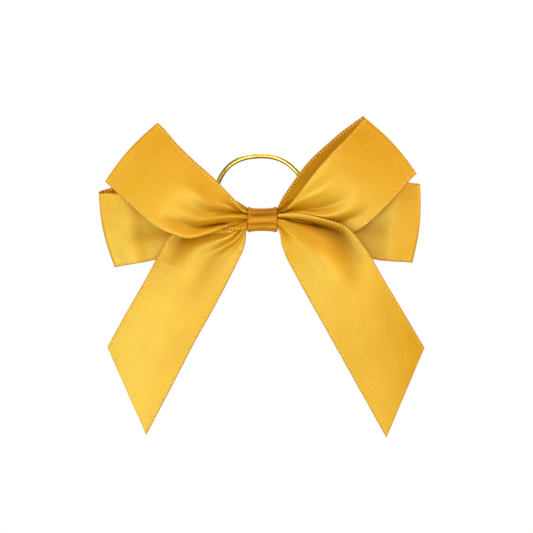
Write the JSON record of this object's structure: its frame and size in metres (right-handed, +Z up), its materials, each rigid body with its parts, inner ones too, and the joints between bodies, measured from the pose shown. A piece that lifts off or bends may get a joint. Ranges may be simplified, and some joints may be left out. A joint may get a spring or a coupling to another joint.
{
  "type": "gift bow",
  "caption": "Ready-made satin ribbon bow with folded loops, cut tails, a wrapped centre band and an elastic loop behind the knot.",
  "frame": {"origin": "middle of the flat back of the centre band, where the bow rests against what it decorates", "axes": "+Z up with the loops above the tails, +X to the right, +Y out of the back; the front faces -Y"},
  "size_m": [0.1086, 0.0197, 0.1077],
  "materials": {
    "satin_ribbon": "satin",
    "band_ribbon": "satin",
    "thread": "matte",
    "glue": "satin",
    "metallic_elastic": "satin"
  },
  "bodies": {
    "knot": {"gathered_core": "satin_ribbon", "binding_thread": "thread", "centre_band": "band_ribbon", "band_glue": "glue"},
    "upper_left": {"upper_left_loop": "satin_ribbon"},
    "upper_right": {"upper_right_loop": "satin_ribbon"},
    "lower_left": {"lower_left_loop": "satin_ribbon"},
    "lower_right": {"lower_right_loop": "satin_ribbon"},
    "tail_left": {"left_tail": "satin_ribbon"},
    "tail_right": {"right_tail": "satin_ribbon"},
    "hanger": {"elastic_loop": "metallic_elastic"}
  },
  "joints": [
    {"name": "upper_left_fan", "type": "hinge", "parent": "knot", "child": "upper_left", "pos_m": [-0.0083, -0.0077, 0.001], "axis": [0, 1, 0], "range_deg": [-6, 14], "stiffness_Nm_per_rad": 0.002},
    {"name": "upper_right_fan", "type": "hinge", "parent": "knot", "child": "upper_right", "pos_m": [0.0083, -0.0067, 0.001], "axis": [0, -1, 0], "range_deg": [-6, 14], "stiffness_Nm_per_rad": 0.002},
    {"name": "lower_left_fan", "type": "hinge", "parent": "knot", "child": "lower_left", "pos_m": [-0.0083, -0.0046, -0.0004], "axis": [0, -1, 0], "range_deg": [-6, 14], "stiffness_Nm_per_rad": 0.002},
    {"name": "lower_right_fan", "type": "hinge", "parent": "knot", "child": "lower_right", "pos_m": [0.0083, -0.0046, -0.0004], "axis": [0, 1, 0], "range_deg": [-6, 14], "stiffness_Nm_per_rad": 0.002},
    {"name": "left_tail_swing", "type": "hinge", "parent": "knot", "child": "tail_left", "pos_m": [-0.0083, -0.0062, -0.0026], "axis": [0, 1, 0], "range_deg": [-14, 14], "stiffness_Nm_per_rad": 0.002},
    {"name": "right_tail_swing", "type": "hinge", "parent": "knot", "child": "tail_right", "pos_m": [0.0083, -0.0083, -0.0014], "axis": [0, -1, 0], "range_deg": [-14, 14], "stiffness_Nm_per_rad": 0.002},
    {"name": "elastic_tilt", "type": "hinge", "parent": "knot", "child": "hanger", "pos_m": [0, -0.00162, 0], "axis": [-1, 0, 0], "range_deg": [0, 120], "stiffness_Nm_per_rad": 0.0006}
  ]
}
